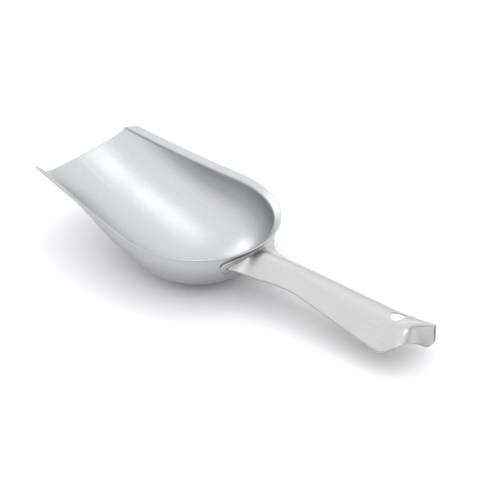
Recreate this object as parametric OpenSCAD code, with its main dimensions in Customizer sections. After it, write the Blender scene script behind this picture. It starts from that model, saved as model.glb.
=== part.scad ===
// Ice scoop: a deep-drawn bowl and a pressed channel handle, joined by two spot welds.
// +X runs from the mouth to the tail, +Z is up, and the origin is under the middle of the scoop.

/* [Bowl] */
// Distance from the mouth corners to the centre of the rear curve
bowl_straight = 77; // [60:1:95]
// Inside radius of the rear curve at the rim
bowl_radius = 41.5; // [36:0.5:46]
// Angle by which each side narrows toward the mouth
side_taper = 8; // [2:0.5:12]
// How far the middle of the front edge stands ahead of its corners
mouth_bow = 7; // [2:0.5:12]
// Height of the rim at the mouth corners
rim_front_z = 43; // [36:0.5:50]
// Height of the rim at the back
rim_rear_z = 27.5; // [24:0.5:32]
// How far the rim dips halfway along
rim_sag = 2.3; // [0:0.1:4]
// Height of the floor at the front edge
floor_front_z = 34.5; // [26:0.5:36]
// Distance from the mouth corners to the lowest point of the floor
heel_x = 84; // [76:1:92]
// How gently the floor bends into the heel
heel_softness = 0.26; // [0.1:0.02:0.5]
// Thickness of the bowl's sheet
bowl_sheet = 0.8; // [0.6:0.1:1.2]

/* [Lip] */
// Width of the lip that turns outward round the rim
lip_width = 3.8; // [2.5:0.1:5]
// Angle of the lip above level
lip_angle = 30; // [10:1:45]
// Radius of the bend from the wall into the lip
lip_bend = 1.7; // [1.3:0.1:2.2]
// How far the near end of the lip stands ahead of the mouth corner
near_lip_lead = 1.6; // [0:0.1:3]
// How far the outer edge of the lip is trimmed back at the far mouth corner
far_lip_trim = 6; // [0:0.5:7]

/* [Handle] */
// Thickness of the handle's sheet
handle_sheet = 0.9; // [0.7:0.1:1]
// Distance from the mouth corners to the end of the tail
tail_end = 229.8; // [222:0.2:240]
// Height of the ridge near the bowl
ridge_z = 26; // [22:0.5:30]
// How far the ridge falls toward the hanging hole
ridge_fall = 3; // [0:0.5:5]
// How far the ridge rises again at the tail
ridge_kick = 4; // [0:0.5:6]
// Distance from the mouth corners to the narrowest part of the channel
waist_x = 147; // [140:1:160]
// Half the width of the channel at its narrowest part
waist_half = 11.4; // [9:0.2:14]
// Growth of the half width per millimetre of length
width_growth = 0.12; // [0.05:0.01:0.14]
// Depth of the channel at its narrowest part
waist_depth = 6.8; // [5:0.2:9]
// Growth of the depth per millimetre of length
depth_growth = 0.09; // [0.04:0.001:0.1]
// Distance from the mouth corners to where the edges of the skirts close into the fin
pinch_x = 220.2; // [219:0.2:221]
// Share of each skirt that its rounded end corner takes away
corner_trim = 0.6; // [0.5:0.05:0.65]
// Radius of the ridge near the bowl
ridge_radius = 6.2; // [4:0.1:8]
// Extra radius of the ridge round the hanging hole
ridge_swell = 4; // [1:0.1:6]
// Height of the lower edge of the fin
fin_bottom_z = 12.5; // [11.5:0.1:13.5]
// Radius of the rounded lower corner of the fin
fin_corner = 5; // [2:0.5:7]

/* [Hanging hole] */
// Diameter of the hanging hole
hole_d = 7.8; // [5:0.1:8]
// Distance from the mouth corners to the hanging hole
hole_x = 208.2; // [203:0.2:209]

/* [Joint to the bowl] */
// Angle round the rear curve that each ear covers
ear_angle = 30; // [26:0.5:36]
// Height of the top edge of the ears
ear_top_z = 26; // [24:0.25:26]
// Height of the outer end of the ears
ear_end_z = 21.5; // [20:0.5:23]
// How far each ear hangs below its outer end
ear_drop = 4.5; // [2:0.5:6]
// Angle round the rear curve at which the flare of the channel meets each ear
fold_angle = 26; // [20:0.5:27]
// Diameter of each spot weld
weld_d = 3.6; // [3:0.1:4]

/* [Hidden] */

// How far the middle line of the scoop is moved to put the origin under its middle
shift_x = (mouth_bow - tail_end) / 2;
// Clear gap between the ears and the wall of the bowl
seat_gap = 0.15;
// Place of each spot weld on its ear, as a share of the ear's angle and a drop below the ear's end
weld_share = 0.9;
weld_drop = 1.5;
// Tilt of the spot welds, square to the wall there, and the share of each sheet that they reach into
weld_tilt = 98;
weld_reach = 0.6;
// Rounding of the waist, along the length
waist_soft = 8;
// Slope of the fin's lower edge
fin_rise = 0.08;
// How far each ear's lower lobe reaches back under the channel, in degrees
ear_back = 8;
// Where the flare turns outward, ahead of the channel, how far out that is, and how tight the turn is
flare_spread = 0.12;
flare_reach = 9.5;
flare_pull = 2.2;
// Half thickness of the closed fin, and the radius of the bead along its top, which is wider near the hole
fin_half = 1.1;
bead = 1.25;
bead_flare = 1.6;
// Softness of the closing at the skirts' edges and along the ridge, and how much sooner the ridge starts
pinch_soft = 0.6;
ridge_soft = 1.7;
ridge_lead = 2;
// Where the skirts stop growing, and the length over which their end corners round off
shoulder_x = 208;
corner_x = 209.5;
corner_length = 15.5;
// Length over which the ends of the lip are trimmed, and height of the lip's bend over the rim line
lead_fade = 14;
lip_lift = 0.5;
// Exponent of the bowl's cross-section at the mouth and from mid-length back
section_mouth = 2.1;
section_rear = 2.15;
// Share of the quarter curve that the cross-section uses at the mouth, in degrees
mouth_quarter = 58;

// Rows from each mouth corner to the middle of the back, and steps up the wall
side_rows = 11;
arc_rows = 15;
half_rows = side_rows + arc_rows;
wall_steps = 9;
bend_steps = 3;
// Columns from the ridge to the edge of the skirt
arc_cols = 5;
skirt_cols = 4;
half_cols = arc_cols + skirt_cols;
// Rows of the ears, and of the flare between them and the channel
ear_rows = 6;
flare_rows = 9;

function mix(a, b, k) = a + (b - a) * k;
function clamp01(k) = max(0, min(1, k));
function ease(a, b, x) = let (k = clamp01((x - a) / (b - a))) k * k * (3 - 2 * k);
function unit(v) = v / norm(v);

// ---- Bowl: the inside surface, row by row round the rim ----

// Where the straight side meets the rear curve
side_x = bowl_straight - bowl_radius * sin(side_taper);
side_y = bowl_radius * cos(side_taper);

// Station t runs from 0 at the mouth corner to 1 at the middle of the back
function rim_turn(t) = (90 + side_taper) * (1 - clamp01((t - 0.5) / 0.5));
function rim_x(t) = t < 0.5 ? side_x * t / 0.5 : bowl_straight + bowl_radius * cos(rim_turn(t));
function rim_y(t) = t < 0.5 ? side_y - (side_x - rim_x(t)) * tan(side_taper) : bowl_radius * sin(rim_turn(t));
function rim_out(t) = [cos(rim_turn(t)), sin(rim_turn(t)), 0];

function rim_height(x) =
    let (k = x / (bowl_straight + bowl_radius))
    mix(rim_front_z, rim_rear_z, k) - rim_sag * 4 * k * (1 - k);

function floor_height(x) =
    let (k = clamp01((heel_x - x) / (heel_x + mouth_bow)), s = heel_softness)
    bowl_sheet + (floor_front_z - bowl_sheet) * (sqrt(k * k + s * s) - s) / (sqrt(1 + s * s) - s);

function floor_slope(x) = (floor_height(x + 0.01) - floor_height(x - 0.01)) / 0.02;

// Height at which the wall hands over to the bend of the lip
function wall_top(x) = rim_height(x) - lip_bend * cos(lip_angle) + lip_lift;

// Point of the inside wall at station t, with v from 0 at the spine to 1 under the lip
function wall_point(t, v) =
    let (x = rim_x(t),
         y = rim_y(t),
         fade = clamp01(1 - x / bowl_straight),
         spine_x = min(x, heel_x),
         spine_z = floor_height(spine_x - mouth_bow * fade),
         n = mix(section_mouth, section_rear, ease(0, bowl_straight, x)),
         quarter = mix(mouth_quarter, 90, ease(0, 55, x)),
         across = pow(sin(quarter * v) / sin(quarter), 2 / n),
         up = (1 - pow(cos(quarter * v), 2 / n)) / (1 - pow(cos(quarter), 2 / n)))
    [mix(spine_x, x, across) - mouth_bow * fade * (1 - across * across),
     y * across,
     mix(spine_z, wall_top(x), up)];

// Point of the lip at station t, with k from 0 to bend_steps round the bend and one more at the edge
function lip_point(t, k, lead) =
    let (turn = 180 - (90 - lip_angle) * min(k / bend_steps, 1),
         flat = k > bend_steps ? (lip_width - lip_bend * (1 + cos(turn))) / cos(lip_angle) : 0,
         out = lip_bend * (1 + cos(turn)) + flat * cos(lip_angle),
         rise = lip_bend * sin(turn) + flat * sin(lip_angle),
         ahead = lead * (out / lip_width) * clamp01(1 - rim_x(t) / lead_fade))
    [rim_x(t) - ahead, rim_y(t) - ahead * tan(side_taper), wall_top(rim_x(t) - ahead) + rise]
        + out * rim_out(t);

// One half row, from the spine out to the edge of the lip, whose end leads the mouth corner by lead
function bowl_row(t, lead) = concat(
    [for (i = [0 : wall_steps]) wall_point(t, i / wall_steps)],
    [for (k = [1 : bend_steps + 1]) lip_point(t, k, lead)]);

function flip(p) = [p[0], -p[1], p[2]];
function shifted(p) = p + [shift_x, 0, 0];

row_len = wall_steps + bend_steps + 2;
function station(i) = i <= side_rows ? 0.5 * i / side_rows : 0.5 + 0.5 * (i - side_rows) / arc_rows;

// Rows run from the near mouth corner round the back to the far one
bowl_grid = concat(
    [for (i = [0 : half_rows]) [for (p = bowl_row(station(i), near_lip_lead)) flip(p)]],
    [for (i = [half_rows - 1 : -1 : 0]) bowl_row(station(i), -far_lip_trim)]);

// Outward normal of the inside surface's far side, from the neighbours in the grid
function grid_normal(g, i, j) =
    let (a = g[min(i + 1, len(g) - 1)][j] - g[max(i - 1, 0)][j],
         b = g[i][min(j + 1, len(g[i]) - 1)] - g[i][max(j - 1, 0)])
    unit(cross(a, b));

function bowl_normal(i, j) =
    j == 0
        ? let (x = min(rim_x(station(min(i, 2 * half_rows - i))), heel_x),
               fade = clamp01(1 - x / bowl_straight))
          unit([floor_slope(x - mouth_bow * fade), 0, -1])
        : grid_normal(bowl_grid, i, j);

bowl_skin = [for (i = [0 : 2 * half_rows]) [for (j = [0 : row_len - 1])
    bowl_grid[i][j] + bowl_sheet * bowl_normal(i, j)]];

// Rows behind the heel share one point there, and the two halves share the spine
first_fan = [for (i = [0 : half_rows]) if (rim_x(station(i)) >= heel_x) i][0];
function spine_row(i) = min(i, 2 * half_rows - i, first_fan);
function bowl_id(i, j, side) =
    side * (2 * half_rows + 1) * row_len + (j == 0 ? spine_row(i) : i) * row_len + j;

// Two triangles of a quad, leaving out any with a repeated corner
function quad(a, b, c, d) = [for (f = [[a, b, c], [a, c, d]])
    if (f[0] != f[1] && f[1] != f[2] && f[2] != f[0]) f];

module bowl_sheet_solid() {
    rows = 2 * half_rows;
    cols = row_len - 1;
    faces = [
        for (i = [0 : rows - 1], j = [0 : cols - 1])
            each quad(bowl_id(i, j, 0), bowl_id(i + 1, j, 0), bowl_id(i + 1, j + 1, 0), bowl_id(i, j + 1, 0)),
        for (i = [0 : rows - 1], j = [0 : cols - 1])
            each quad(bowl_id(i, j, 1), bowl_id(i, j + 1, 1), bowl_id(i + 1, j + 1, 1), bowl_id(i + 1, j, 1)),
        for (i = [0 : rows - 1])
            each quad(
                bowl_id(i, cols, 0), bowl_id(i + 1, cols, 0), bowl_id(i + 1, cols, 1), bowl_id(i, cols, 1)),
        for (j = [0 : cols - 1])
            each quad(bowl_id(0, j, 0), bowl_id(0, j + 1, 0), bowl_id(0, j + 1, 1), bowl_id(0, j, 1)),
        for (j = [0 : cols - 1])
            each quad(
                bowl_id(rows, j + 1, 0), bowl_id(rows, j, 0), bowl_id(rows, j, 1), bowl_id(rows, j + 1, 1))
    ];
    points = concat([for (row = bowl_grid, p = row) shifted(p)], [for (row = bowl_skin, p = row) shifted(p)]);
    polyhedron(points = points, faces = faces, convexity = 6);
}

// ---- Handle: the outside surface, row by row from the joint to the tail ----

function flare_out(x) = sqrt(pow(x - waist_x, 2) + waist_soft * waist_soft) - waist_soft;

function ridge_height(x) =
    ridge_z - ridge_fall * ease(135, 210, x) + ridge_kick * ease(206, tail_end + 2, x);

// Share of the open channel that is left at x, with along from 0 at the ridge to 1 at the edge of the skirt
function closing(x, along) =
    1 / (1 + exp((x - pinch_x + ridge_lead * (1 - along)) / mix(ridge_soft, pinch_soft, along)));

// Half section: a round top of radius r and a straight side towards [w, -d], of which the share left is kept
function half_section(r, w, d, left, c) =
    let (full_turn = atan2(w, r - d) - acos(r / norm([w, r - d])),
         turn = full_turn * min(c / arc_cols, 1),
         start = [r * sin(turn), r * cos(turn) - r])
    start + ([w, -d] - start) * left * max(0, c - arc_cols) / skirt_cols;

function channel_section(x, c) =
    let (grown = flare_out(min(x, shoulder_x)))
    half_section(
        ridge_radius + ridge_swell * ease(140, 200, x),
        waist_half + width_growth * grown,
        waist_depth + depth_growth * grown,
        1 - corner_trim * ease(corner_x, corner_x + corner_length, x),
        c);

function fin_section(x, c) =
    let (past = max(0, x - (tail_end - fin_corner)))
    half_section(
        bead + bead_flare * (1 - ease(pinch_x, tail_end, x)),
        fin_half,
        ridge_height(x) - fin_bottom_z - fin_rise * max(0, x - pinch_x)
            - (fin_corner - sqrt(max(0, fin_corner * fin_corner - past * past))),
        1,
        c);

// Half section at x: c from 0 on the ridge to half_cols on the edge of the skirt
function section_point(x, c) =
    let (open = closing(x, max(0, c - arc_cols) / skirt_cols),
         p = mix(fin_section(x, c), channel_section(x, c), open))
    [x, p[0], ridge_height(x) + p[1]];

// Distance of the bowl's outside wall from the heel, in the direction of turn, at height z
function wall_reach(turn, z) =
    let (rim = [bowl_straight - heel_x + bowl_radius * cos(turn), bowl_radius * sin(turn)],
         g = clamp01((z - bowl_sheet) / (rim_rear_z - bowl_sheet)))
    norm(rim) * pow(1 - pow(1 - g, section_rear), 1 / section_rear) + bowl_sheet;

// Point on the seat of the ears, a sheet and a gap outside the wall
function seat_point(turn, z) =
    let (rim = unit([bowl_straight - heel_x + bowl_radius * cos(turn), bowl_radius * sin(turn)]),
         reach = wall_reach(turn, z) + handle_sheet + seat_gap)
    [heel_x + reach * rim[0], reach * rim[1], z];

// Pushes a point of the flare out of the seat, if it is inside
function clear_of_bowl(p) =
    let (flat = [p[0] - heel_x, p[1]],
         turn = atan2(p[1], p[0] - bowl_straight),
         reach = wall_reach(turn, p[2]) + handle_sheet + seat_gap)
    norm(flat) < reach ? [heel_x + flat[0] * reach / norm(flat), flat[1] * reach / norm(flat), p[2]] : p;

// Where the channel starts, behind the flare
front_x = 130;
// Where the flare meets the ears, as an angle and a height, with c as in section_point
function fold_turn(c) = fold_angle * pow(c / half_cols, 1.3);
function fold_z(c) = mix(ear_top_z - 0.4, ear_end_z, pow(c / half_cols, 1.6));

// Outline of the ears: along the top edge and down their outer end
function outline_turn(c) = ear_angle * pow(sin(90 * c / half_cols), 0.7);
function outline_z(c) = ear_end_z + (ear_top_z - ear_end_z) * pow(cos(90 * c / half_cols), 0.6);

// Point of the ears: k is 0 on the outline and 1 where the flare starts; the last column hangs as a lobe
function ear_point(c, k) =
    let (hang = max(0, c + 1 - half_cols) * sin(180 * k))
    seat_point(
        mix(outline_turn(c), fold_turn(c), k) - ear_back * hang * k,
        mix(outline_z(c), fold_z(c), k) - ear_drop * hang);

function flare_point(c, k) =
    let (start = section_point(front_x, c),
         end = ear_point(c, 1),
         corner = [
             start[0] - flare_reach,
             mix(start[1], end[1], flare_spread),
             mix(start[2], end[2], flare_spread)],
         near_end = (1 - k) * (1 - k),
         near_corner = 2 * flare_pull * k * (1 - k),
         near_start = k * k)
    clear_of_bowl((near_end * end + near_corner * corner + near_start * start)
        / (near_end + near_corner + near_start));

// Stations of the channel: coarse along the grip, fine where the skirts close
channel_x = [
    for (i = [1 : 10]) mix(front_x, 204, i / 10),
    for (i = [1 : 6]) 204 + i * 2,
    for (i = [1 : 12]) 216 + i * 0.55,
    for (i = [1 : 2]) 222.6 + i,
    for (i = [0 : 5]) mix(tail_end - fin_corner + 1, tail_end, sin(18 * i))
];

handle_half = concat(
    [for (i = [0 : ear_rows - 1]) [for (c = [0 : half_cols]) ear_point(c, i / ear_rows)]],
    [for (i = [0 : flare_rows]) [for (c = [0 : half_cols]) flare_point(c, i / flare_rows)]],
    [for (x = channel_x) [for (c = [0 : half_cols]) section_point(x, c)]]);
handle_grid = [for (row = handle_half)
    concat([for (c = [half_cols : -1 : 1]) flip(row[c])], row)];
function handle_normal(i, j) =
    i < ear_rows
        ? unit([handle_grid[i][j][0] - heel_x, handle_grid[i][j][1], 0])
        : grid_normal(handle_grid, i, j);
handle_skin = [for (i = [0 : len(handle_grid) - 1]) [for (j = [0 : 2 * half_cols])
    handle_grid[i][j] - handle_sheet * handle_normal(i, j)]];

module handle_sheet_solid() {
    rows = len(handle_grid) - 1;
    cols = 2 * half_cols;
    size = (rows + 1) * (cols + 1);
    function id(i, j, side) = side * size + i * (cols + 1) + j;
    faces = [
        for (i = [0 : rows - 1], j = [0 : cols - 1])
            each quad(id(i, j, 0), id(i, j + 1, 0), id(i + 1, j + 1, 0), id(i + 1, j, 0)),
        for (i = [0 : rows - 1], j = [0 : cols - 1])
            each quad(id(i, j, 1), id(i + 1, j, 1), id(i + 1, j + 1, 1), id(i, j + 1, 1)),
        for (i = [0 : rows - 1], j = [0, cols])
            each j == 0
                ? quad(id(i, j, 0), id(i + 1, j, 0), id(i + 1, j, 1), id(i, j, 1))
                : quad(id(i + 1, j, 0), id(i, j, 0), id(i, j, 1), id(i + 1, j, 1)),
        for (j = [0 : cols - 1])
            each quad(id(0, j + 1, 0), id(0, j, 0), id(0, j, 1), id(0, j + 1, 1)),
        for (j = [0 : cols - 1])
            each quad(id(rows, j, 0), id(rows, j + 1, 0), id(rows, j + 1, 1), id(rows, j, 1))
    ];
    points = concat(
        [for (row = handle_grid, p = row) shifted(p)],
        [for (row = handle_skin, p = row) shifted(p)]);
    polyhedron(points = points, faces = faces, convexity = 8);
}

module bowl() {
    color("silver") bowl_sheet_solid();
}

module handle() {
    color("lightsteelblue") difference() {
        handle_sheet_solid();
        translate([hole_x + shift_x, 0, ridge_z - 12]) cylinder(d = hole_d, h = 16, $fn = 48);
    }
}

module spot_welds() {
    weld_turn = ear_angle * weld_share;
    weld_z = ear_end_z - weld_drop;
    color("dimgray") for (side = [-1, 1]) {
        seat = seat_point(weld_turn, weld_z);
        rim = unit([bowl_straight - heel_x + bowl_radius * cos(weld_turn), bowl_radius * sin(weld_turn)]);
        translate([seat[0] + shift_x, side * seat[1], seat[2]])
            rotate([0, 0, side * atan2(rim[1], rim[0])])
                rotate([0, weld_tilt, 0])
                    translate([0, 0, -handle_sheet - seat_gap - bowl_sheet * weld_reach])
                        cylinder(
                            d = weld_d,
                            h = (handle_sheet + bowl_sheet) * weld_reach + seat_gap,
                            $fn = 36);
    }
}

bowl();
handle();
spot_welds();
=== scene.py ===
"""Ice scoop: a deep-drawn steel bowl and a pressed channel handle, modelled finely in the CAD's frame."""

import math

import bmesh
import bpy
import numpy as np
from mathutils import Matrix, Vector


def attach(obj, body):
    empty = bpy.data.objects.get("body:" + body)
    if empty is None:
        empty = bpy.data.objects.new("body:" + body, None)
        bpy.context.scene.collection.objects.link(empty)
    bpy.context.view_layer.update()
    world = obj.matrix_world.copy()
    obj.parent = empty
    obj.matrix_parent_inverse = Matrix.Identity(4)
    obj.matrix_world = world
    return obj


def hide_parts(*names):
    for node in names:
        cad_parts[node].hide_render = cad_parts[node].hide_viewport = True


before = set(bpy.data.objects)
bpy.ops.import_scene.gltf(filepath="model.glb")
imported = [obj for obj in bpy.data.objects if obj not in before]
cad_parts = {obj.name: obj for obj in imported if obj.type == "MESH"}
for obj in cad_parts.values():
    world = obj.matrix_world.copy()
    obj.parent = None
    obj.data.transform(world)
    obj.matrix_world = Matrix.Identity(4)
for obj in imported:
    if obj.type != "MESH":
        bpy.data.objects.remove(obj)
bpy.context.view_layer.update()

MM = 0.001

# ---- The scoop's driving dimensions, in millimetres ----
# They are those of the CAD source, apart from the floor's crease, which only this model has. X starts at the
# mouth corners here, and SHIFT moves it to the frame's origin.

BOWL_STRAIGHT = 77.0
BOWL_RADIUS = 41.5
SIDE_TAPER = math.radians(8)
MOUTH_BOW = 7.0
RIM_FRONT_Z = 43.0
RIM_REAR_Z = 27.5
RIM_SAG = 2.3
FLOOR_FRONT_Z = 34.5
HEEL_X = 84.0
HEEL_SOFTNESS = 0.26
BOWL_SHEET = 0.8
# Exponents of the cross-section at the mouth and behind BOWL_STRAIGHT, the degrees of its quarter curve that
# are used at the mouth, and where the whole quarter is reached
SECTION_MOUTH = 2.1
SECTION_REAR = 2.15
MOUTH_QUARTER = 58.0
FULL_QUARTER_X = 55.0

LIP_WIDTH = 3.8
LIP_ANGLE = math.radians(30)
LIP_BEND = 1.7
LIP_LIFT = 0.5
NEAR_LIP_LEAD = 1.6
FAR_LIP_TRIM = 6.0
LEAD_FADE = 14.0

# A faint pressed line runs back from the middle of the front edge and fades out
FLOOR_CREASE = 0.12
CREASE_HALF = 1.6
CREASE_FROM = 10.0
CREASE_TO = 48.0

HANDLE_SHEET = 0.9
TAIL_END = 229.8
# The ridge falls along the grip, and rises again to the tail
RIDGE_Z = 26.0
RIDGE_FALL = 3.0
FALL_FROM = 135.0
FALL_TO = 210.0
RIDGE_KICK = 4.0
KICK_FROM = 206.0
KICK_TO = TAIL_END + 2
RIDGE_RADIUS = 6.2
RIDGE_SWELL = 4.0
SWELL_FROM = 140.0
SWELL_TO = 200.0

WAIST_X = 147.0
WAIST_HALF = 11.4
WAIST_SOFT = 8.0
WIDTH_GROWTH = 0.12
WAIST_DEPTH = 6.8
DEPTH_GROWTH = 0.09
SHOULDER_X = 208.0
CORNER_X = 209.5
CORNER_LENGTH = 15.5
CORNER_TRIM = 0.6

# The skirts close into the fin, softly along the ridge and sharply at their edges
PINCH_X = 220.2
PINCH_SOFT = 0.6
RIDGE_SOFT = 1.7
RIDGE_LEAD = 2.0
FIN_BOTTOM_Z = 12.5
FIN_RISE = 0.08
FIN_CORNER = 5.0
FIN_HALF = 1.1
BEAD = 1.25
BEAD_FLARE = 1.6

HOLE_R = 3.9
HOLE_X = 208.2

EAR_ANGLE = 30.0
EAR_TOP_Z = 26.0
EAR_END_Z = 21.5
EAR_DROP = 4.5
EAR_BACK = 8.0
FOLD_ANGLE = 26.0
FOLD_GAP = 0.4
SEAT_GAP = 0.15
# Powers that shape the ears' round outline, in angle and in height, and the line where the flare meets them
OUTLINE_TURN_POWER = 0.7
OUTLINE_Z_POWER = 0.6
FOLD_TURN_POWER = 1.3
FOLD_Z_POWER = 1.6
FLARE_START_X = 130.0
FLARE_REACH = 9.5
FLARE_SPREAD = 0.12
FLARE_PULL = 2.2

SHIFT = (MOUTH_BOW - TAIL_END) / 2
SIDE_X = BOWL_STRAIGHT - BOWL_RADIUS * math.sin(SIDE_TAPER)
SIDE_Y = BOWL_RADIUS * math.cos(SIDE_TAPER)

# ---- Mesh density and edges ----

# The share of the rim's way from the mouth corner to the back's middle where the round part starts
ARC_START = 0.5
SIDE_ROWS = 46
ARC_ROWS = 66
WALL_STEPS = 40
BEND_STEPS = 8
LIP_STEPS = 4

EAR_ROWS = 8
FLARE_ROWS = 26
GRIP_STEP = 1.0
PINCH_STEP = 0.25
FIN_STEP = 0.5
CORNER_ROWS = 14
# Columns of half the handle, on the round ridge (c from 0 to 1) and on the skirt (c from 1 to 2)
ARC_COLUMNS = 16
SKIRT_COLUMNS = 14
COLUMNS = [i / ARC_COLUMNS for i in range(ARC_COLUMNS + 1)]
COLUMNS += [1 + i / SKIRT_COLUMNS for i in range(1, SKIRT_COLUMNS + 1)]
# Share of the ears' half width that the ridge's columns take
RIDGE_SHARE = 5 / 9
# The last of this many equal strips, from ridge to edge, hangs as each ear's lobe
LOBE_STRIPS = 9

# The patch round the hanging hole: its reach to the front and to the back from the hole's middle, its rows,
# its columns on each side of the ridge, and its rings
PATCH_AHEAD = 6.0
PATCH_BEHIND = 5.6
PATCH_ROWS = 24
PATCH_COLUMNS = 12
PATCH_RINGS = 7
# Points per unit of c, and their count, in the profile that gives the rings their height
PROFILE_DENSITY = 30
PROFILE_COUNT = 40
# The close rows of the pinch end this far behind PINCH_X. The gaps lead to the first row of pinch and fin.
PINCH_MARGIN = 3.0
PATCH_GAP = 0.3
FIN_GAP = 0.4
# How far round the tail's corner its first row is, in radians
CORNER_FIRST_TURN = 0.05

EDGE_ROUND = 0.3
EDGE_SEGMENTS = 3
EDGE_ANGLE = math.radians(50)
SMALLEST_EDGE = 0.004
# Keeps the exponential in closing within range
LARGEST_POWER = 60

# ---- Small helpers ----


def clamp01(k):
    return min(max(k, 0), 1)


def mix(a, b, k):
    return a + (b - a) * k


def ease(a, b, x):
    k = clamp01((x - a) / (b - a))
    return k * k * (3 - 2 * k)


def mesh_object(name, points, faces, node):
    """A mesh piece from points in millimetres, standing for one CAD node."""
    mesh = bpy.data.meshes.new(name)
    moved = np.asarray(points, float) + np.array([SHIFT, 0, 0])
    mesh.from_pydata((moved * MM).tolist(), [], faces)
    mesh.update()
    piece = bpy.data.objects.new(name, mesh)
    bpy.context.scene.collection.objects.link(piece)
    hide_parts(node)
    return piece


def face_up(piece):
    """Turns all faces the same way, so that the modelled side is the front of the sheet."""
    shape = bmesh.new()
    shape.from_mesh(piece.data)
    bmesh.ops.recalc_face_normals(shape, faces=shape.faces)
    lift = sum(face.normal.z * face.calc_area() for face in shape.faces)
    if lift < 0:
        bmesh.ops.reverse_faces(shape, faces=shape.faces)
    shape.to_mesh(piece.data)
    shape.free()


def thicken(piece, sheet):
    """Gives a surface its sheet thickness, behind the modelled side, and rounds the cut edges."""
    face_up(piece)
    solid = piece.modifiers.new("sheet", "SOLIDIFY")
    solid.thickness = sheet * MM
    solid.offset = -1
    edge = piece.modifiers.new("cut_edges", "BEVEL")
    edge.width = EDGE_ROUND * MM
    edge.segments = EDGE_SEGMENTS
    edge.limit_method = "ANGLE"
    edge.angle_limit = EDGE_ANGLE
    bpy.context.view_layer.objects.active = piece
    bpy.ops.object.modifier_apply(modifier="sheet")
    bpy.ops.object.modifier_apply(modifier="cut_edges")
    shape = bmesh.new()
    shape.from_mesh(piece.data)
    bmesh.ops.remove_doubles(shape, verts=shape.verts, dist=SMALLEST_EDGE * MM)
    bmesh.ops.dissolve_degenerate(shape, edges=shape.edges, dist=SMALLEST_EDGE * MM)
    shape.to_mesh(piece.data)
    shape.free()
    piece.data.polygons.foreach_set("use_smooth", [True] * len(piece.data.polygons))


# ---- Bowl ----


def rim(t):
    """Plan position and outward direction of the rim: t is 0 at the mouth corner, 1 at the back's middle."""
    turn = (math.pi / 2 + SIDE_TAPER) * (1 - clamp01((t - ARC_START) / (1 - ARC_START)))
    if t < ARC_START:
        x = SIDE_X * t / ARC_START
        y = SIDE_Y - (SIDE_X - x) * math.tan(SIDE_TAPER)
    else:
        x = BOWL_STRAIGHT + BOWL_RADIUS * math.cos(turn)
        y = BOWL_RADIUS * math.sin(turn)
    return x, y, math.cos(turn), math.sin(turn)


def rim_height(x):
    k = x / (BOWL_STRAIGHT + BOWL_RADIUS)
    return mix(RIM_FRONT_Z, RIM_REAR_Z, k) - RIM_SAG * 4 * k * (1 - k)


def floor_height(x):
    k = clamp01((HEEL_X - x) / (HEEL_X + MOUTH_BOW))
    s = HEEL_SOFTNESS
    return BOWL_SHEET + (FLOOR_FRONT_Z - BOWL_SHEET) * (math.hypot(k, s) - s) / (math.hypot(1, s) - s)


def floor_crease(x, y):
    """Depth of the faint pressed line along the middle of the floor."""
    return FLOOR_CREASE * math.exp(-((y / CREASE_HALF) ** 2)) * (1 - ease(CREASE_FROM, CREASE_TO, x))


def wall_top(x):
    return rim_height(x) - LIP_BEND * math.cos(LIP_ANGLE) + LIP_LIFT


def wall_point(t, v):
    """Inside of the bowl: v is 0 on the spine of the floor and 1 where the lip starts."""
    x, y, _, _ = rim(t)
    fade = clamp01(1 - x / BOWL_STRAIGHT)
    spine_x = min(x, HEEL_X)
    spine_z = floor_height(spine_x - MOUTH_BOW * fade)
    n = mix(SECTION_MOUTH, SECTION_REAR, ease(0, BOWL_STRAIGHT, x))
    quarter = math.radians(mix(MOUTH_QUARTER, 90, ease(0, FULL_QUARTER_X, x)))
    across = (math.sin(quarter * v) / math.sin(quarter)) ** (2 / n)
    up = (1 - max(math.cos(quarter * v), 0) ** (2 / n)) / (1 - max(math.cos(quarter), 0) ** (2 / n))
    return (
        mix(spine_x, x, across) - MOUTH_BOW * fade * (1 - across * across),
        y * across,
        mix(spine_z, wall_top(x), up) - floor_crease(x, y * across),
    )


def lip_point(t, k, lead):
    """Lip: k runs from 0 to 1 round the bend and from 1 to 2 across the straight part."""
    turn = math.pi - (math.pi / 2 - LIP_ANGLE) * min(k, 1)
    straight = (LIP_WIDTH - LIP_BEND * (1 + math.cos(turn))) / math.cos(LIP_ANGLE) * max(k - 1, 0)
    out = LIP_BEND * (1 + math.cos(turn)) + straight * math.cos(LIP_ANGLE)
    rise = LIP_BEND * math.sin(turn) + straight * math.sin(LIP_ANGLE)
    x, y, out_x, out_y = rim(t)
    ahead = lead * (out / LIP_WIDTH) * clamp01(1 - x / LEAD_FADE)
    return (
        x - ahead + out * out_x,
        y - ahead * math.tan(SIDE_TAPER) + out * out_y,
        wall_top(x - ahead) + rise,
    )


def bowl_row(t, lead):
    """Half a row, from the spine of the floor to the lip's edge, whose front end leads the mouth by lead."""
    wall = [wall_point(t, i / WALL_STEPS) for i in range(WALL_STEPS + 1)]
    bend = [lip_point(t, k / BEND_STEPS, lead) for k in range(1, BEND_STEPS + 1)]
    flat = [lip_point(t, 1 + k / LIP_STEPS, lead) for k in range(1, LIP_STEPS + 1)]
    return wall + bend + flat


def bowl_rows():
    """Rows from the near mouth corner round the back to the far one, and the first row at the heel."""
    stations = [ARC_START * i / SIDE_ROWS for i in range(SIDE_ROWS)]
    stations += [ARC_START + (1 - ARC_START) * i / ARC_ROWS for i in range(ARC_ROWS + 1)]
    near = [[(x, -y, z) for x, y, z in bowl_row(t, NEAR_LIP_LEAD)] for t in stations]
    far = [bowl_row(t, -FAR_LIP_TRIM) for t in reversed(stations[:-1])]
    return near + far, next(i for i, t in enumerate(stations) if rim(t)[0] >= HEEL_X)


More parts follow.
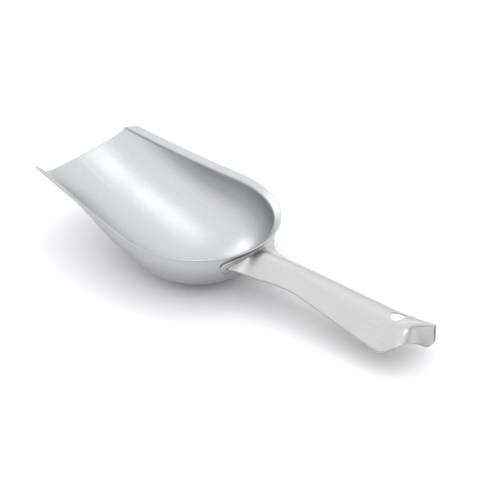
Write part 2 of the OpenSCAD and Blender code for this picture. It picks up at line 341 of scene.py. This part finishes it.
def make_bowl():
    rows, heel = bowl_rows()
    last = len(rows) - 1

    def key(i, j):
        """The two halves share the spine's points, and all rows behind the heel share one of them."""
        return (min(i, last - i, heel), 0) if j == 0 else (i, j)

    points = []
    number = {}
    for i, row in enumerate(rows):
        for j, point in enumerate(row):
            if key(i, j) not in number:
                number[key(i, j)] = len(points)
                points.append(point)
    faces = []
    for i in range(last):
        for j in range(len(rows[0]) - 1):
            square = [(i, j), (i, j + 1), (i + 1, j + 1), (i + 1, j)]
            face = list(dict.fromkeys(number[key(*corner)] for corner in square))
            if len(face) > 2:
                faces.append(face)
    piece = mesh_object("bowl_sheet", points, faces, "bowl")
    thicken(piece, BOWL_SHEET)
    return piece


# ---- Handle: sections of the channel and the fin ----


def ridge_height(x):
    return RIDGE_Z - RIDGE_FALL * ease(FALL_FROM, FALL_TO, x) + RIDGE_KICK * ease(KICK_FROM, KICK_TO, x)


def closing(x, skirt):
    """Share of the open channel left at x, with skirt from 0 at the ridge to 1 at the edge."""
    past = (x - PINCH_X + RIDGE_LEAD * (1 - skirt)) / mix(RIDGE_SOFT, PINCH_SOFT, skirt)
    return 1 / (1 + math.exp(min(past, LARGEST_POWER)))


def half_section(r, w, d, left, c):
    """A round top of radius r and a straight side towards (w, -d), of which the share left is kept."""
    full_turn = math.atan2(w, r - d) - math.acos(min(r / math.hypot(w, r - d), 1))
    turn = full_turn * min(c, 1)
    start = np.array([r * math.sin(turn), r * math.cos(turn) - r])
    return start + (np.array([w, -d]) - start) * left * max(0, c - 1)


def channel_section(x, c):
    grown = math.hypot(min(x, SHOULDER_X) - WAIST_X, WAIST_SOFT) - WAIST_SOFT
    return half_section(
        RIDGE_RADIUS + RIDGE_SWELL * ease(SWELL_FROM, SWELL_TO, x),
        WAIST_HALF + WIDTH_GROWTH * grown,
        WAIST_DEPTH + DEPTH_GROWTH * grown,
        1 - CORNER_TRIM * ease(CORNER_X, CORNER_X + CORNER_LENGTH, x),
        c,
    )


def fin_section(x, c):
    past = max(0, x - (TAIL_END - FIN_CORNER))
    corner = FIN_CORNER - math.sqrt(max(0, FIN_CORNER * FIN_CORNER - past * past))
    return half_section(
        BEAD + BEAD_FLARE * (1 - ease(PINCH_X, TAIL_END, x)),
        FIN_HALF,
        ridge_height(x) - FIN_BOTTOM_Z - FIN_RISE * max(0, x - PINCH_X) - corner,
        1,
        c,
    )


def section_point(x, c):
    """Outside of the handle: c is 0 on the ridge, 1 where the skirt starts and 2 on the skirt's edge."""
    p = mix(fin_section(x, c), channel_section(x, c), closing(x, max(0, c - 1)))
    return np.array([x, p[0], ridge_height(x) + p[1]])


def height_at(x, y):
    """Height of the outside of the handle over a point of the ridge or the start of the skirt."""
    profile = [section_point(x, i / PROFILE_DENSITY) for i in range(PROFILE_COUNT)]
    return float(np.interp(abs(y), [p[1] for p in profile], [p[2] for p in profile]))


# ---- Handle: the ears on the bowl's wall, and the flare ----


def seat_reach(turn, z):
    """Distance and heading, from the heel, of the ears' outside: a sheet and a small gap off the wall."""
    rim_x = BOWL_STRAIGHT - HEEL_X + BOWL_RADIUS * math.cos(turn)
    rim_y = BOWL_RADIUS * math.sin(turn)
    g = clamp01((z - BOWL_SHEET) / (RIM_REAR_Z - BOWL_SHEET))
    wall = math.hypot(rim_x, rim_y) * (1 - (1 - g) ** SECTION_REAR) ** (1 / SECTION_REAR) + BOWL_SHEET
    return wall + HANDLE_SHEET + SEAT_GAP, math.atan2(rim_y, rim_x)


def seat_point(degrees, z):
    reach, heading = seat_reach(math.radians(degrees), z)
    return np.array([HEEL_X + reach * math.cos(heading), reach * math.sin(heading), z])


def clear_of_bowl(p):
    """Pushes a point of the flare out to the seat of the ears, if it is inside."""
    reach, _ = seat_reach(math.atan2(p[1], p[0] - BOWL_STRAIGHT), p[2])
    flat = np.array([p[0] - HEEL_X, p[1]])
    if np.linalg.norm(flat) < reach:
        flat *= reach / np.linalg.norm(flat)
    return np.array([HEEL_X + flat[0], flat[1], p[2]])


def ear_point(c, k):
    """Ears: k is 0 on their outline and 1 where the flare starts. The strip by the edge hangs as a lobe."""
    a = RIDGE_SHARE * c if c <= 1 else RIDGE_SHARE + (1 - RIDGE_SHARE) * (c - 1)
    hang = max(0, a * LOBE_STRIPS - (LOBE_STRIPS - 1)) * math.sin(math.pi * k)
    outline_turn = EAR_ANGLE * math.sin(math.pi / 2 * a) ** OUTLINE_TURN_POWER
    outline_fall = max(math.cos(math.pi / 2 * a), 0) ** OUTLINE_Z_POWER
    outline_z = EAR_END_Z + (EAR_TOP_Z - EAR_END_Z) * outline_fall
    fold_turn = FOLD_ANGLE * a ** FOLD_TURN_POWER
    fold_z = mix(EAR_TOP_Z - FOLD_GAP, EAR_END_Z, a ** FOLD_Z_POWER)
    return seat_point(
        mix(outline_turn, fold_turn, k) - EAR_BACK * hang * k,
        mix(outline_z, fold_z, k) - EAR_DROP * hang,
    )


def flare_point(c, k):
    """Flare between the ears and the channel: k is 0 on the ears and 1 on the channel."""
    start = section_point(FLARE_START_X, c)
    end = ear_point(c, 1)
    corner = np.array([
        start[0] - FLARE_REACH,
        mix(start[1], end[1], FLARE_SPREAD),
        mix(start[2], end[2], FLARE_SPREAD),
    ])
    parts = ((1 - k) ** 2, 2 * FLARE_PULL * k * (1 - k), k * k)
    return clear_of_bowl((parts[0] * end + parts[1] * corner + parts[2] * start) / sum(parts))


# ---- Handle: the mesh ----


def channel_stations():
    """Stations from the flare to the tail, and how many lie ahead of the patch round the hole."""
    patch_from = HOLE_X - PATCH_AHEAD
    patch_to = HOLE_X + PATCH_BEHIND
    pinch_to = PINCH_X + PINCH_MARGIN
    fin_to = TAIL_END - FIN_CORNER
    grip = np.arange(FLARE_START_X + GRIP_STEP, patch_from - GRIP_STEP / 2, GRIP_STEP)
    patch = np.linspace(patch_from, patch_to, PATCH_ROWS)
    pinch = np.arange(patch_to + PATCH_GAP, pinch_to, PINCH_STEP)
    fin = np.arange(pinch_to + FIN_GAP, fin_to, FIN_STEP)
    corner = fin_to + FIN_CORNER * np.sin(np.linspace(CORNER_FIRST_TURN, math.pi / 2, CORNER_ROWS))
    return [float(x) for x in np.concatenate([grip, patch, pinch, fin, corner])], len(grip)


def handle_rows():
    """Rows of the handle's outside from the ears to the tail, and the number of the patch's first row."""
    stations, ahead = channel_stations()
    halves = [[ear_point(c, i / EAR_ROWS) for c in COLUMNS] for i in range(EAR_ROWS)]
    halves += [[flare_point(c, i / FLARE_ROWS) for c in COLUMNS] for i in range(FLARE_ROWS + 1)]
    patch_row = len(halves) + ahead
    halves += [[section_point(x, c) for c in COLUMNS] for x in stations]
    flip = np.array([1, -1, 1])
    return [[p * flip for p in reversed(half[1:])] + half for half in halves], patch_row


def patch_border(top, bottom, low, high):
    """Grid places round the patch, in order."""
    border = [(top, j) for j in range(low, high)]
    border += [(i, high) for i in range(top, bottom)]
    border += [(bottom, j) for j in range(high, low, -1)]
    border += [(i, low) for i in range(bottom, top, -1)]
    return border


def fill_patch(points, faces, ring):
    """Adds rings that run from the patch's border to the edge of the hanging hole."""
    border = [points[n] for n in ring]
    for m in range(1, PATCH_RINGS + 1):
        first = len(points)
        for p in border:
            heading = math.atan2(p[1], p[0] - HOLE_X)
            x = mix(p[0], HOLE_X + HOLE_R * math.cos(heading), m / PATCH_RINGS)
            y = mix(p[1], HOLE_R * math.sin(heading), m / PATCH_RINGS)
            points.append(np.array([x, y, height_at(x, y)]))
        inner = list(range(first, len(points)))
        for a in range(len(ring)):
            b = (a + 1) % len(ring)
            faces.append([ring[a], ring[b], inner[b], inner[a]])
        ring = inner


def make_handle():
    rows, top = handle_rows()
    bottom = top + PATCH_ROWS - 1
    ridge = len(COLUMNS) - 1
    low = ridge - PATCH_COLUMNS
    high = ridge + PATCH_COLUMNS
    points = []
    number = {}
    for i, row in enumerate(rows):
        for j, point in enumerate(row):
            if not (top < i < bottom and low < j < high):
                number[(i, j)] = len(points)
                points.append(point)
    faces = []
    for i in range(len(rows) - 1):
        for j in range(len(rows[0]) - 1):
            if not (top <= i < bottom and low <= j < high):
                square = [(i, j), (i, j + 1), (i + 1, j + 1), (i + 1, j)]
                faces.append([number[corner] for corner in square])
    fill_patch(points, faces, [number[place] for place in patch_border(top, bottom, low, high)])
    piece = mesh_object("handle_sheet", points, faces, "handle")
    thicken(piece, HANDLE_SHEET)
    return piece


# ---- Materials ----

# The values of the noise between which the steel's tone and roughness change
NOISE_LOW = 0.3
NOISE_HIGH = 0.7
# The tint's share left in the grain's hollows, the scratches' weight beside the grain, and the bump's depth
HOLLOW_SHADE = 0.93
SCRATCH_WEIGHT = 0.05
RELIEF_DEPTH = 0.02 * MM


def add_node(tree, kind, inputs, links):
    """A shader node with plain values on some of its inputs and links into others."""
    made = tree.nodes.new(kind)
    for name, value in inputs.items():
        made.inputs[name].default_value = value
    for name, output in links.items():
        tree.links.new(output, made.inputs[name])
    return made


def grain_of(tree, place, scale):
    """Fine brushed grain, stretched by a different scale along each axis."""
    stretched = add_node(tree, "ShaderNodeMapping", {"Scale": scale}, {"Vector": place})
    look = {"Scale": 1.0, "Detail": 6.0, "Roughness": 0.65}
    return add_node(tree, "ShaderNodeTexNoise", look, {"Vector": stretched.outputs["Vector"]}).outputs["Fac"]


def roughness_of(tree, place, lowest, highest):
    """Soft smudges, from the smoother to the rougher value."""
    look = {"Scale": 42.0, "Detail": 3.0, "Roughness": 0.55}
    smudge = add_node(tree, "ShaderNodeTexNoise", look, {"Vector": place})
    limits = {"From Min": NOISE_LOW, "From Max": NOISE_HIGH, "To Min": lowest, "To Max": highest}
    return add_node(tree, "ShaderNodeMapRange", limits, {"Value": smudge.outputs["Fac"]}).outputs["Result"]


def tone_of(tree, grain, tint):
    """The steel's tint, a little darker in the hollows of the grain."""
    tone = add_node(tree, "ShaderNodeValToRGB", {}, {"Fac": grain})
    dark, light = tone.color_ramp.elements
    dark.position = NOISE_LOW
    dark.color = (*[v * HOLLOW_SHADE for v in tint], 1)
    light.position = NOISE_HIGH
    light.color = (*tint, 1)
    return tone.outputs["Color"]


def relief_of(tree, place, grain, strength):
    """Bump from the grain, with a few hairline scratches cut across it."""
    slant = {"Scale": (0.25, 1.6, 1.0), "Rotation": (0.0, 0.0, 0.35)}
    bent = add_node(tree, "ShaderNodeMapping", slant, {"Vector": place})
    cells = add_node(tree, "ShaderNodeTexVoronoi", {"Scale": 95.0}, {"Vector": bent.outputs["Vector"]})
    cells.feature = "DISTANCE_TO_EDGE"
    hairline = add_node(tree, "ShaderNodeMapRange", {"From Max": 0.012}, {"Value": cells.outputs["Distance"]})
    relief = tree.nodes.new("ShaderNodeMath")
    relief.operation = "MULTIPLY_ADD"
    relief.inputs[1].default_value = SCRATCH_WEIGHT
    tree.links.new(hairline.outputs["Result"], relief.inputs[0])
    tree.links.new(grain, relief.inputs[2])
    depth = {"Strength": strength, "Distance": RELIEF_DEPTH}
    return add_node(tree, "ShaderNodeBump", depth, {"Height": relief.outputs["Value"]}).outputs["Normal"]


def steel(name, tint, roughness, grain_scale, grain_strength):
    """Satin stainless steel, with brushed grain, smudges and light scratches."""
    material = bpy.data.materials.new(name)
    material.use_nodes = True
    tree = material.node_tree
    place = tree.nodes.new("ShaderNodeTexCoord").outputs["Object"]
    grain = grain_of(tree, place, grain_scale)
    shader = tree.nodes["Principled BSDF"]
    shader.inputs["Metallic"].default_value = 1.0
    tree.links.new(roughness_of(tree, place, *roughness), shader.inputs["Roughness"])
    tree.links.new(tone_of(tree, grain, tint), shader.inputs["Base Color"])
    tree.links.new(relief_of(tree, place, grain, grain_strength), shader.inputs["Normal"])
    return material


def matte(name, colour):
    material = bpy.data.materials.new(name)
    material.use_nodes = True
    shader = material.node_tree.nodes["Principled BSDF"]
    shader.inputs["Base Color"].default_value = (*colour, 1)
    shader.inputs["Roughness"].default_value = 0.9
    shader.inputs["Specular IOR Level"].default_value = 0.1
    return material


# ---- Stage ----

FLOOR_HALF = 4.0
# The surround goes from dark to bright along this direction, mostly upwards, between two places on it
WORLD_AXIS = (0.0, 0.2, 0.98)
WORLD_FROM = -0.5
WORLD_TO = 0.9
WORLD_DARK = 0.48
WORLD_BRIGHT = 1.45

# Camera: a long lens, looking down over the near side of the handle
CAMERA_AZIMUTH = math.radians(40)
CAMERA_ELEVATION = math.radians(31)
CAMERA_DISTANCE = 1100 * MM
CAMERA_LENS = 151.23
RIGHT_OF_CORNER = 83.12 * MM
BELOW_CORNER = 12.65 * MM


def make_floor():
    mesh = bpy.data.meshes.new("studio_floor")
    corners = [(-1, -1), (1, -1), (1, 1), (-1, 1)]
    mesh.from_pydata([(x * FLOOR_HALF, y * FLOOR_HALF, 0) for x, y in corners], [], [(0, 1, 2, 3)])
    mesh.materials.append(matte("white_table", (0.86, 0.86, 0.865)))
    floor = bpy.data.objects.new("studio_floor", mesh)
    bpy.context.scene.collection.objects.link(floor)


def softbox(name, direction, distance, width, height, power):
    """A rectangular studio light that faces the scoop from a direction."""
    light = bpy.data.lights.new(name, "AREA")
    light.shape = "RECTANGLE"
    light.size = width
    light.size_y = height
    light.energy = power
    lamp = bpy.data.objects.new(name, light)
    towards = Vector(direction).normalized()
    lamp.location = towards * distance
    lamp.rotation_euler = towards.to_track_quat("Z", "Y").to_euler()
    bpy.context.scene.collection.objects.link(lamp)


def make_world():
    """A plain studio surround, brighter above than near the horizon."""
    world = bpy.data.worlds.new("studio")
    world.use_nodes = True
    tree = world.node_tree
    direction = tree.nodes.new("ShaderNodeTexCoord").outputs["Generated"]
    side = tree.nodes.new("ShaderNodeVectorMath")
    side.operation = "DOT_PRODUCT"
    side.inputs[1].default_value = WORLD_AXIS
    tree.links.new(direction, side.inputs[0])
    limits = {"From Min": WORLD_FROM, "From Max": WORLD_TO, "To Min": WORLD_DARK, "To Max": WORLD_BRIGHT}
    ramp = add_node(tree, "ShaderNodeMapRange", limits, {"Value": side.outputs["Value"]})
    ramp.interpolation_type = "SMOOTHSTEP"
    background = tree.nodes["Background"]
    background.inputs["Color"].default_value = (0.985, 0.995, 1.0, 1)
    tree.links.new(ramp.outputs["Result"], background.inputs["Strength"])
    bpy.context.scene.world = world


def make_camera():
    back = Vector((
        math.sin(CAMERA_AZIMUTH) * math.cos(CAMERA_ELEVATION),
        -math.cos(CAMERA_AZIMUTH) * math.cos(CAMERA_ELEVATION),
        math.sin(CAMERA_ELEVATION),
    ))
    right = Vector((math.cos(CAMERA_AZIMUTH), math.sin(CAMERA_AZIMUTH), 0))
    up = back.cross(right)
    corner = Vector((SHIFT * MM, 0, 0))
    place = corner + back * CAMERA_DISTANCE + right * RIGHT_OF_CORNER - up * BELOW_CORNER
    camera = bpy.data.objects.new("camera", bpy.data.cameras.new("camera"))
    camera.data.sensor_width = 36
    camera.data.lens = CAMERA_LENS
    camera.data.clip_start = 0.01
    camera.matrix_world = Matrix((
        (right.x, up.x, back.x, place.x),
        (right.y, up.y, back.y, place.y),
        (right.z, up.z, back.z, place.z),
        (0, 0, 0, 1),
    ))
    bpy.context.scene.collection.objects.link(camera)
    bpy.context.scene.camera = camera


# ---- The scoop and its studio ----

bowl_steel = steel("bowl_steel", (0.495, 0.512, 0.512), (0.27, 0.35), (90, 900, 900), 0.10)
handle_steel = steel("handle_steel", (0.505, 0.517, 0.508), (0.25, 0.33), (60, 1100, 1100), 0.12)
weld_steel = steel("weld_steel", (0.45, 0.45, 0.45), (0.4, 0.55), (400, 400, 400), 0.3)

bowl = make_bowl()
handle = make_handle()
bowl.data.materials.append(bowl_steel)
handle.data.materials.append(handle_steel)
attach(bowl, "root")
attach(handle, "root")

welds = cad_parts["spot_welds"]
welds.data.materials.clear()
welds.data.materials.append(weld_steel)

make_floor()
make_world()
softbox("overhead", (0.02, 0.27, 0.96), 1.3, 0.5, 0.5, 0.75)
softbox("left", (-0.8, 0.22, 0.56), 0.9, 0.4, 0.3, 0.6)
softbox("front", (0.43, -0.52, 0.66), 1.0, 0.45, 0.45, 0.9)
make_camera()
bpy.context.scene.view_settings.view_transform = "Standard"
bpy.context.scene.view_settings.look = "None"
